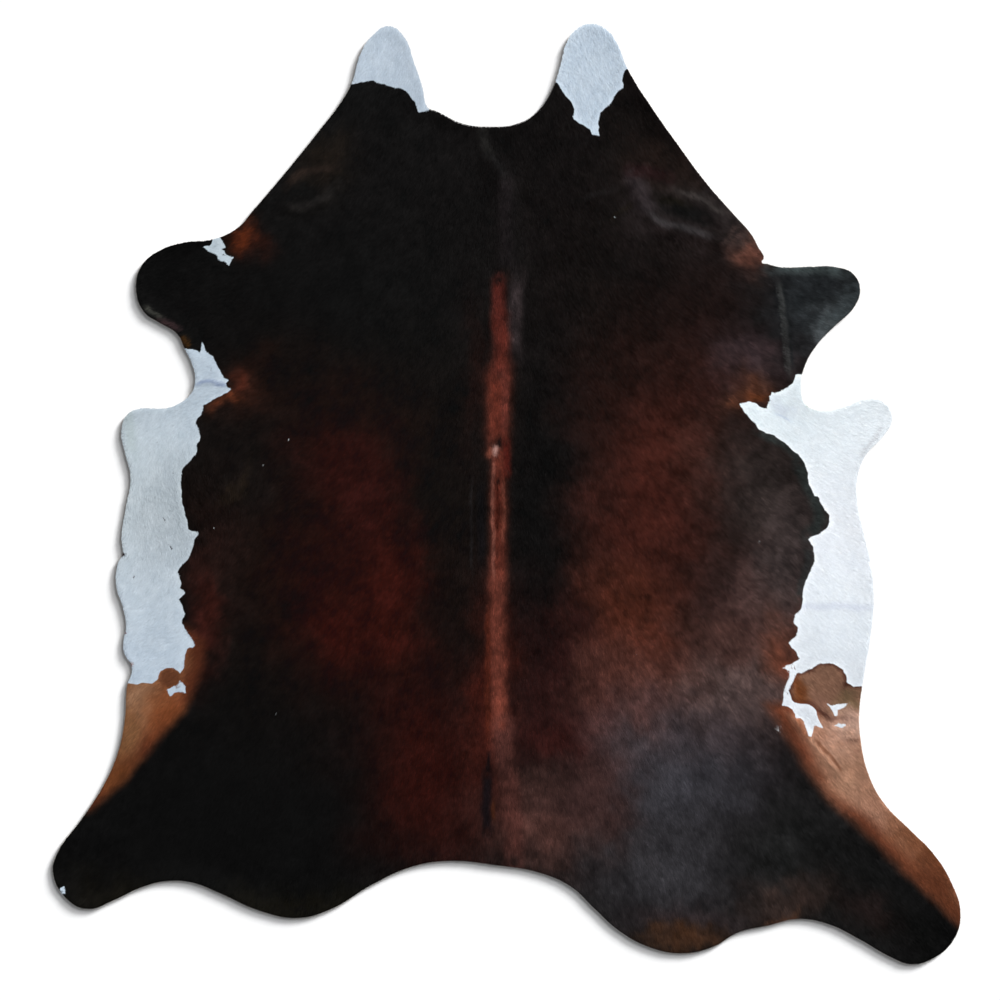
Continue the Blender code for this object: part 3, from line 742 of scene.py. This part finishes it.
def white_depth(points):
    """How deep each point is inside a white patch, in metres: below zero on the dark coat and its spots."""
    depth = np.full(len(points), -1.0)
    for border in WHITE_PATCHES.values():
        depth = np.maximum(depth, depth_inside(points, place(border)))
    for _, x, y, radius in SPOTS.values():
        depth = np.minimum(depth, distance_to_spot(points, *place((x, y))) - radius * CM)
    return depth


def patch_points(border):
    """Points on either side of a white patch's border, where it wanders to."""
    loop = evenly_spaced(place(border), BORDER_STEP, closed=True)
    along = np.roll(loop, -1, axis=0) - np.roll(loop, 1, axis=0)
    outwards = step_aside(along)
    if (loop[:, 0] * along[:, 1] - loop[:, 1] * along[:, 0]).sum() < 0.0:
        outwards = -outwards
    ragged = border_wander(table_place(loop))[:, None]
    return [loop + outwards * (ragged + side * BORDER_SPREAD) for side in (-1.0, 1.0)]


def spot_points(x, y, radius):
    """Points around a round spot, and one in its middle."""
    turns = np.linspace(0.0, 2.0 * math.pi, SPOT_SIDES, endpoint=False)
    middle = place([(x, y)])
    return [middle + radius * CM * np.stack([np.cos(turns), np.sin(turns)], axis=1), middle]


def border_points(ring):
    """Points on the hide along the borders of its white patches and spots."""
    found = []
    for border in WHITE_PATCHES.values():
        found += patch_points(border)
    for _, *spot in SPOTS.values():
        found += spot_points(*spot)
    points = np.concatenate(found)
    points = points[inside_loop(points, ring)]
    return points[distance_to_points(points, ring) > BORDER_ROOM]


def lattice(low, high, step):
    """An even triangular lattice of points over a box."""
    rows = np.arange(low[1], high[1], step * math.sqrt(3.0) / 2.0)
    columns = np.arange(low[0], high[0], step)
    x = columns[None, :] + (np.arange(len(rows)) % 2)[:, None] * step / 2.0
    y = np.broadcast_to(rows[:, None], x.shape)
    return np.stack([x.ravel(), y.ravel()], axis=1)


def sheet_layout():
    """The hide seen from above: its points, its triangles, and at each point what the hair needs to know."""
    ring = smooth_line(packed_outline("hide"), EDGE_STEP, closed=True)
    creases = crease_lines()
    borders = border_points(ring)
    raised = np.concatenate([crease_points(half_width, crest) for _, half_width, crest in creases])
    raised = raised[inside_loop(raised, ring)]
    raised = raised[distance_to_points(raised, np.concatenate([ring, borders])) > CREASE_ROOM]
    fixed = np.concatenate([ring, borders, raised])
    middle = lattice(ring.min(0), ring.max(0), SHEET_STEP)
    middle = middle[distance_to_points(middle, fixed) > SHEET_ROOM]
    points = np.concatenate([fixed, middle]).tolist()
    count = len(ring)
    edges = [(i, (i + 1) % count) for i in range(count)]
    cut = [list(range(count))]
    corners, _, faces, *_ = delaunay_2d_cdt(points, edges, cut, TRIANGLES_INSIDE, ROUNDING)
    flat = np.array([tuple(corner) for corner in corners])
    from_edge = distance_to_points(flat, ring)
    return {
        "flat": flat,
        "faces": turned_up(flat, np.array(faces)),
        "from_edge": from_edge,
        "lift": lift(flat, from_edge, creases),
        "depth": white_depth(flat),
    }


def turned_up(flat, faces):
    """The faces, each with its corners in the order that makes it face up."""
    a, b, c = (flat[faces[:, i]] for i in range(3))
    up = (b[:, 0] - a[:, 0]) * (c[:, 1] - a[:, 1]) - (b[:, 1] - a[:, 1]) * (c[:, 0] - a[:, 0]) > 0.0
    return np.where(up[:, None], faces, faces[:, ::-1])


def new_mesh_object(name, points, faces):
    """An object in the scene, with a mesh of triangles."""
    mesh = bpy.data.meshes.new(name)
    mesh.vertices.add(len(points))
    mesh.vertices.foreach_set("co", np.ascontiguousarray(points, dtype=np.float32).ravel())
    mesh.loops.add(faces.size)
    mesh.loops.foreach_set("vertex_index", np.ascontiguousarray(faces, dtype=np.int32).ravel())
    mesh.polygons.add(len(faces))
    mesh.polygons.foreach_set("loop_start", np.arange(0, faces.size, 3, dtype=np.int32))
    mesh.update(calc_edges=True)
    mesh.validate()
    obj = bpy.data.objects.new(name, mesh)
    bpy.context.scene.collection.objects.link(obj)
    return obj


def set_coat(mesh, colours):
    """Gives each point of the mesh its colour in the coat."""
    layer = mesh.color_attributes.new(name="coat", type="FLOAT_COLOR", domain="POINT")
    full = np.ones((len(colours), 4), dtype=np.float32)
    full[:, :3] = colours
    layer.data.foreach_set("color", full.ravel())


def hide_leather(layout, hair_side, flesh_side, cut_edge):
    """The tanned hide: a closed sheet with a hair side, a flesh side and a cut edge."""
    hide = new_mesh_object("hide_leather", np.column_stack([layout["flat"], layout["lift"]]), layout["faces"])
    colours, _ = coat_colour(layout["flat"], layout["depth"], 0.0)
    set_coat(hide.data, colours)
    for material in (hair_side, flesh_side, cut_edge):
        hide.data.materials.append(material)
    thicken = hide.modifiers.new("leather", "SOLIDIFY")
    thicken.thickness = LEATHER
    thicken.offset = 1.0
    thicken.material_offset = 1
    thicken.material_offset_rim = 2
    with bpy.context.temp_override(object=hide, active_object=hide, selected_objects=[hide]):
        bpy.ops.object.modifier_apply(modifier=thicken.name)
    hide.data.shade_smooth()
    return hide


# --- The coat's colours, at places xy in the tables' centimetres ---


def cloud(xy, size, seed):
    """Smooth noise from -1 to 1 over the hide, with humps about size cm across."""
    knots = np.random.default_rng(seed).uniform(-1.0, 1.0, (CLOUD_KNOTS, CLOUD_KNOTS))
    cell = np.floor(xy / size).astype(int)
    right, up = smooth(xy / size - cell).T
    x, y = cell.T % CLOUD_KNOTS
    next_x, next_y = (x + 1) % CLOUD_KNOTS, (y + 1) % CLOUD_KNOTS
    low = knots[x, y] * (1.0 - right) + knots[next_x, y] * right
    high = knots[x, next_y] * (1.0 - right) + knots[next_x, next_y] * right
    return low * (1.0 - up) + high * up


def clouds(xy, rows, seed):
    """Noise summed from rows of how much and over what length."""
    return sum(amount * cloud(xy, size, seed + i) for i, (amount, size) in enumerate(rows))


def wander(xy, rows, seed):
    """The places, moved about at random but smoothly."""
    return xy + np.stack([clouds(xy, rows, seed), clouds(xy, rows, seed + SEED_ACROSS)], axis=1)


def border_wander(xy):
    """How far the white reaches past the tables' borders, in metres."""
    return CM * clouds(xy, BORDER_WANDER, BORDER_SEED)


def lay_colour(look, share, colour):
    """Lays a colour over the look as strongly as each point's share says."""
    look += share[:, None] * (np.asarray(colour, dtype=float) - look)


def wash_share(xy, strength, x, y, half_x, half_y, turn):
    """How strongly a wash shows: half its strength at the half sizes, and softly less outside."""
    along, across = on_turned_axes(xy[:, 0] - x, xy[:, 1] - y, turn)
    return strength * 0.5 ** (((along / half_x) ** 2 + (across / half_y) ** 2) ** WASH_HARDNESS)


def stripe_share(xy, strength, half_width, fade, line):
    """How strongly a stripe shows: half its strength at the half width, and less near its ends."""
    line = smooth_line(line, STRIPE_STEP)
    reach = STRIPE_REACH * half_width
    near = ((xy > line.min(0) - reach) & (xy < line.max(0) + reach)).all(1)
    close = strength * 0.5 ** ((distance_to_line(xy[near], line) / half_width) ** STRIPE_HARDNESS)
    if fade:
        from_ends = np.minimum(*(distance_to_spot(xy[near], *end) for end in (line[0], line[-1])))
        close *= smooth(STRIPE_END + from_ends / fade)
    share = np.zeros(len(xy))
    share[near] = close
    return share


def lay_tan_areas(look, xy):
    """Lays the tan areas over the look, and says how tan each point is."""
    tan = np.zeros(len(xy))
    for rim_colour, colour, rim, softness, border in TAN_AREAS.values():
        deep = depth_inside(xy, np.array(border, dtype=float))
        area = smooth(0.5 + deep / softness)
        lay_colour(look, area, rim_colour)
        lay_colour(look, smooth((deep - TAN_RIM_START * rim) / rim), colour)
        tan = np.maximum(tan, area)
    return tan


def dark_mottle(xy, washed, tan):
    """How much lighter or darker the dark coat is at each point, as a factor."""
    even = TAN_EVENNESS * tan
    for wash in EVEN_PLACES.values():
        even = np.maximum(even, wash_share(washed, *wash))
    return 1.0 + (1.0 - even) * clouds(xy, MOTTLE, MOTTLE_SEED)


def dark_coat(xy):
    """The dark coat's colour, as it looks, with painted sheen, painted highlights and painted shade along
    some creases.
    """
    look = np.tile(np.array(BLACK, dtype=float), (len(xy), 1))
    washed = wander(xy, WASH_WANDER, WASH_SEED)
    striped = wander(xy, STRIPE_WANDER, STRIPE_SEED)
    for colour, *wash in WASHES.values():
        lay_colour(look, wash_share(washed, *wash), colour)
    tan = lay_tan_areas(look, wander(xy, STRIPE_WANDER, TAN_SEED))
    for colour, *wash in TAN_WASHES.values():
        lay_colour(look, tan * wash_share(washed, *wash), colour)
    for colour, *stripe in STRIPES.values():
        lay_colour(look, stripe_share(striped, *stripe), colour)
    look *= dark_mottle(xy, washed, tan)[:, None]
    for colour, x, y, radius in SPOTS.values():
        lay_colour(look, smooth(radius + SPOT_SOFTNESS - distance_to_spot(xy, x, y)), colour)
    return look


def white_coat(xy):
    """The white coat's colour, as it looks, with painted shade in some of its creases, folds and rims."""
    look = blended(xy, WHITES.values(), WHITE_REACH)
    look *= 1.0 + clouds(xy, WHITE_MOTTLE, WHITE_MOTTLE_SEED)[:, None] * ((FULL_WHITE - look) / DULLNESS)
    striped = wander(xy, STRIPE_WANDER, STRIPE_SEED)
    for colour, *stripe in WHITE_STRIPES.values():
        lay_colour(look, stripe_share(striped, *stripe), colour)
    return look


def coat_colour(points, depth, mix):
    """The coat's colour at points in metres, as linear light, and which points lie in a fleck."""
    xy = table_place(points)
    white = depth + border_wander(xy) + mix > 0.0
    look = np.where(white[:, None], white_coat(xy), dark_coat(xy))
    flecked = np.zeros(len(xy), dtype=bool)
    for colour, half_width, half_length, turn, places in FLECKS.values():
        for middle in places:
            across, along = on_turned_axes(*(xy - middle).T, turn)
            near = np.hypot(across / half_width, along / half_length) < 1.0
            look[near] = colour
            flecked |= near
    return np.maximum(linear(look) - GLOSS, DARKEST), flecked


# --- The hair ---


def hair_lay(points):
    """How far the hair is turned at each point from straight back, seen from above."""
    xy = table_place(points)
    x, y = xy.T
    outwards = np.abs(x)
    turn = np.radians(blended(np.stack([outwards, y], axis=1), LAY.values(), LAY_REACH))
    turn *= smooth(outwards / SPINE_REACH) * np.sign(x)
    turn += WHORL_TURN * nearness(xy, *LEFT_WHORL, WHORL_REACH)
    for height, scale_x, start_x, scale_y, start_y in LAY_WAVES:
        turn += height * np.sin(x / scale_x + start_x) * np.sin(y / scale_y + start_y)
    return turn


def face_normals(surface, faces):
    """Each face's normal, with a length of twice its area."""
    corner = surface[faces]
    return np.cross(corner[:, 1] - corner[:, 0], corner[:, 2] - corner[:, 0])


def surface_normals(surface, faces):
    """The unit normal at each point."""
    facing = face_normals(surface, faces)
    normals = np.zeros_like(surface)
    for i in range(3):
        np.add.at(normals, faces[:, i], facing)
    return normals / np.linalg.norm(normals, axis=1)[:, None]


def scattered(surface, faces, random):
    """Even random places from rump to neck: the three points around each, and how near it is to them."""
    faces = faces[np.argsort(surface[faces].mean(1)[:, 1])]
    area = np.linalg.norm(face_normals(surface, faces), axis=1)
    steps = (np.arange(HAIR_COUNT) + random.random(HAIR_COUNT)) / HAIR_COUNT
    chosen = faces[np.searchsorted(np.cumsum(area) / area.sum(), steps).clip(max=len(faces) - 1)]
    one, two = random.random((2, HAIR_COUNT))
    root = np.sqrt(one)
    return chosen, np.stack([1.0 - root, root * (1.0 - two), root * two], axis=1)


def hair_lengths(from_edge, depth, flecked, random):
    """Each hair's length: shorter at a border and in a fleck, and clear of the floor beside the rug."""
    spread = 1.0 + HAIR_LENGTH_SPREAD * random.normal(0.0, 1.0, HAIR_COUNT)
    length = HAIR_LENGTH * spread.clip(*HAIR_LENGTH_SHARES)
    length *= BORDER_LENGTH + (1.0 - BORDER_LENGTH) * smooth(np.abs(depth) / HAIR_LENGTH)
    length = np.where(flecked, BORDER_LENGTH * length, length)
    return np.minimum(length, 2.0 * (from_edge + HAIR_OVERHANG))


def hair_blades(layout, random):
    """Each hair as a slim triangle (left and right corner of its root, and its tip), and its colour."""
    surface = np.column_stack([layout["flat"], layout["lift"] + LEATHER])
    chosen, share = scattered(surface, layout["faces"], random)

    def at_hair(values):
        return (values[chosen] * (share[:, :, None] if values.ndim == 2 else share)).sum(1)

    middle, up = at_hair(surface), at_hair(surface_normals(surface, layout["faces"]))
    from_edge, depth = at_hair(layout["from_edge"]), at_hair(layout["depth"])
    turn = hair_lay(middle[:, :2]) + random.normal(0.0, HAIR_STRAY, HAIR_COUNT)
    ahead = np.stack([np.sin(turn), -np.cos(turn), np.zeros(HAIR_COUNT)], axis=1)
    ahead[:, 2] = -(ahead[:, 0] * up[:, 0] + ahead[:, 1] * up[:, 1]) / up[:, 2]
    aside = np.cross(up, ahead)
    mix = random.normal(0.0, BORDER_MIX, HAIR_COUNT)
    colours, flecked = coat_colour(middle[:, :2], depth, mix)
    length = hair_lengths(from_edge, depth, flecked, random)
    width = HAIR_WIDTH * random.uniform(*HAIR_WIDTH_SHARES, HAIR_COUNT)
    rise = HAIR_RISE * random.uniform(*HAIR_RISE_SHARES, HAIR_COUNT) * length / HAIR_LENGTH
    roll = random.normal(0.0, HAIR_ROLL, HAIR_COUNT) * width
    bed = HAIR_BED * random.random(HAIR_COUNT)
    tone = np.exp(random.normal(0.0, TONE_SPREAD, HAIR_COUNT))
    tone = np.where(depth > 0.0, 1.0 + WHITE_TONE_SHARE * (tone - 1.0), tone)

    half = ahead * length[:, None] / 2.0
    to_side = aside * width[:, None] / 2.0 + up * roll[:, None]
    start = middle - half - up * bed[:, None]
    tip = middle + half + up * rise[:, None]
    return np.stack([start - to_side, start + to_side, tip], axis=1), colours * tone[:, None]


def lying_hair(layout, material):
    """The short hair over the whole hide, as slim blades that lie along the lay."""
    blades, colours = hair_blades(layout, np.random.default_rng(HAIR_SEED))
    pieces = []
    for name, part in zip(HAIR_PIECES, np.array_split(np.arange(HAIR_COUNT), len(HAIR_PIECES))):
        faces = np.arange(3 * len(part)).reshape(-1, 3)
        hair = new_mesh_object(name, blades[part].reshape(-1, 3), faces)
        set_coat(hair.data, np.repeat(colours[part], 3, axis=0).clip(0.0, 1.0))
        seen_from_above(hair.data)
        hair.data.materials.append(material)
        pieces.append(hair)
    return pieces


def seen_from_above(mesh):
    """A map of the piece as it is seen from above, which fits hair that lies flat."""
    places = np.empty(len(mesh.loops), dtype=np.int32)
    mesh.loops.foreach_get("vertex_index", places)
    points = np.empty(3 * len(mesh.vertices), dtype=np.float32)
    mesh.vertices.foreach_get("co", points)
    flat = points.reshape(-1, 3)[places, :2]
    low, high = flat.min(0), flat.max(0)
    on_map = MAP_MARGIN + (1.0 - 2.0 * MAP_MARGIN) * (flat - low) / (high - low)
    mesh.uv_layers.new(name="OFBake").uv.foreach_set("vector", on_map.astype(np.float32).ravel())


# --- Materials ---


def add_node(tree, kind, inputs, **settings):
    """A new node. Each of its inputs named here gets a value, or a link from another node's output."""
    node = tree.nodes.new(kind)
    for name, value in settings.items():
        setattr(node, name, value)
    connect(tree, node, inputs)
    return node


def connect(tree, node, inputs):
    """Gives a node's inputs their values, or links from other nodes' outputs."""
    for name, value in inputs.items():
        if isinstance(value, bpy.types.NodeSocket):
            tree.links.new(value, node.inputs[name])
        else:
            node.inputs[name].default_value = value


def math_result(tree, operation, one, other):
    """What a Math node makes of two numbers or outputs."""
    return add_node(tree, "ShaderNodeMath", {0: one, 1: other}, operation=operation).outputs["Value"]


def mottle_group():
    """Shared by hair and skin: the coat's colour, broken by soft blotches and fine grain."""
    group = bpy.data.node_groups.new("mottled coat", "ShaderNodeTree")
    group.interface.new_socket("Coat", in_out="INPUT", socket_type="NodeSocketColor")
    for name, value in PATTERN.items():
        socket = group.interface.new_socket(name, in_out="INPUT", socket_type="NodeSocketFloat")
        socket.default_value = value
    group.interface.new_socket("Colour", in_out="OUTPUT", socket_type="NodeSocketColor")
    group.interface.new_socket("Relief", in_out="OUTPUT", socket_type="NodeSocketFloat")
    given = group.nodes.new("NodeGroupInput").outputs
    where = group.nodes.new("ShaderNodeTexCoord").outputs["Object"]

    def noise(scale, detail):
        inputs = {"Vector": where, "Scale": scale, "Detail": detail, "Roughness": PATTERN_ROUGHNESS}
        return add_node(group, "ShaderNodeTexNoise", inputs).outputs["Fac"]

    def toned(noise, strength):
        return math_result(group, "MULTIPLY", math_result(group, "SUBTRACT", noise, 0.5), strength)

    grain = noise(given["Grain Size"], GRAIN_DETAIL)
    blotches = toned(noise(given["Blotch Size"], BLOTCH_DETAIL), given["Blotches"])
    both = math_result(group, "ADD", blotches, toned(grain, given["Grain"]))
    tone = math_result(group, "ADD", both, 1.0)
    colour = add_node(group, "ShaderNodeVectorMath", {0: given["Coat"], "Scale": tone}, operation="SCALE")
    add_node(group, "NodeGroupOutput", {"Colour": colour.outputs["Vector"], "Relief": grain})
    return group


def new_material(name, roughness, shine):
    """A material, its node tree and its shader."""
    material = bpy.data.materials.new(name)
    material.use_nodes = True
    shader = material.node_tree.nodes["Principled BSDF"]
    shader.inputs["Roughness"].default_value = roughness
    shader.inputs["Specular IOR Level"].default_value = shine
    return material, material.node_tree, shader


def mottle_colour(tree, shader, mottle, coat, pattern):
    """Colours the shader with the coat's colour, broken by the mottle, and gives the mottle's node."""
    broken = add_node(tree, "ShaderNodeGroup", {"Coat": coat, **pattern}, node_tree=mottle)
    connect(tree, shader, {"Base Color": broken.outputs["Colour"]})
    return broken


def coat_of_the_mesh(tree):
    """The coat's colour that each point of the mesh holds."""
    return add_node(tree, "ShaderNodeVertexColor", {}, layer_name="coat").outputs["Color"]


def add_nap(tree, shader, broken, strength, height):
    """Roughens the surface with the mottle's fine grain."""
    inputs = {"Strength": strength, "Distance": height, "Height": broken.outputs["Relief"]}
    connect(tree, shader, {"Normal": add_node(tree, "ShaderNodeBump", inputs).outputs["Normal"]})


def hair_material(mottle):
    """Short, dense cattle hair, coloured hair by hair."""
    material, tree, shader = new_material("short cattle hair", roughness=0.55, shine=0.04)
    mottle_colour(tree, shader, mottle, coat_of_the_mesh(tree), {"Blotches": 0.12, "Grain": 0.2})
    return material


def hair_side_material(mottle):
    """The hide between the hairs, in their colour."""
    material, tree, shader = new_material("hide under the hair", roughness=0.7, shine=0.05)
    broken = mottle_colour(tree, shader, mottle, coat_of_the_mesh(tree), {"Blotches": 0.12, "Grain": 0.5})
    add_nap(tree, shader, broken, strength=0.5, height=0.6 * MM)
    return material


def flesh_material(mottle, name, colour, grain_size):
    """Undyed split leather, napped like suede."""
    material, tree, shader = new_material(name, roughness=0.85, shine=0.15)
    pattern = {"Blotches": 0.35, "Grain": 0.3, "Blotch Size": 9.0, "Grain Size": grain_size}
    broken = mottle_colour(tree, shader, mottle, rgba(colour), pattern)
    add_nap(tree, shader, broken, strength=0.6, height=0.4 * MM)
    return material


def floor_material():
    """Plain white paper."""
    material, _, shader = new_material("white paper floor", roughness=0.9, shine=0.1)
    shader.inputs["Base Color"].default_value = FLOOR_COLOUR
    return material


# --- The studio ---


def floor():
    """A wide plain floor just under the hide."""
    mesh = bpy.data.meshes.new("floor")
    corners = [(x * FLOOR_HALF, y * FLOOR_HALF, 0.0) for x, y in ((-1, -1), (1, -1), (1, 1), (-1, 1))]
    mesh.from_pydata(corners, [], [(0, 1, 2, 3)])
    mesh.materials.append(floor_material())
    ground = bpy.data.objects.new("floor", mesh)
    ground.location.z = -FLOOR_DROP
    bpy.context.scene.collection.objects.link(ground)
    return ground


def sun(name, azimuth, elevation, strength, softness, lit):
    """A light from azimuth degrees round from +X, that falls on the lit objects alone."""
    light = bpy.data.lights.new(name, "SUN")
    light.energy = strength
    light.angle = math.radians(softness)
    lamp = bpy.data.objects.new(name, light)
    a, e = math.radians(azimuth), math.radians(elevation)
    towards = Vector((math.cos(a) * math.cos(e), math.sin(a) * math.cos(e), math.sin(e)))
    lamp.rotation_euler = towards.to_track_quat("Z", "Y").to_euler()
    bpy.context.scene.collection.objects.link(lamp)
    receivers = bpy.data.collections.new(f"lit by {name}")
    for obj in lit:
        receivers.objects.link(obj)
    lamp.light_linking.receiver_collection = receivers


def studio(ground, rug):
    """A pale backdrop, one soft sun over the rug, and two low ones that give the floor its shadow."""
    world = bpy.data.worlds.new("studio")
    world.use_nodes = True
    backdrop = world.node_tree.nodes["Background"]
    backdrop.inputs["Color"].default_value = BACKDROP_COLOUR
    backdrop.inputs["Strength"].default_value = BACKDROP_STRENGTH
    bpy.context.scene.world = world
    sun("low light along the floor", azimuth=45.0, elevation=15.0, strength=7.9, softness=14.0, lit=[ground])
    sun("high light on the floor", azimuth=45.0, elevation=34.0, strength=1.9, softness=30.0, lit=[ground])
    sun("light over the rug", azimuth=50.0, elevation=52.0, strength=4.0, softness=20.0, lit=rug)
    bpy.context.scene.view_settings.view_transform = "Standard"


def camera():
    """Looks straight down from a height that puts VIEW_WIDTH across the picture."""
    data = bpy.data.cameras.new("camera")
    data.lens = LENS
    data.sensor_width = SENSOR
    eye = bpy.data.objects.new("camera", data)
    eye.location = (*VIEW_MIDDLE, VIEW_WIDTH * LENS / SENSOR)
    bpy.context.scene.collection.objects.link(eye)
    bpy.context.scene.camera = eye


def main():
    """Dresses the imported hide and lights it."""
    bpy.context.view_layer.update()
    camera()
    mottle = mottle_group()
    layout = sheet_layout()
    hair_side = hair_side_material(mottle)
    flesh_side = flesh_material(mottle, "suede flesh side", FLESH, grain_size=420.0)
    cut_edge = flesh_material(mottle, "cut leather edge", CUT, grain_size=700.0)
    leather = hide_leather(layout, hair_side, flesh_side, cut_edge)
    hairs = lying_hair(layout, hair_material(mottle))
    rug = [leather, *hairs]
    for piece in rug:
        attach(piece, "root")
    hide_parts("hide")
    studio(floor(), rug)


main()
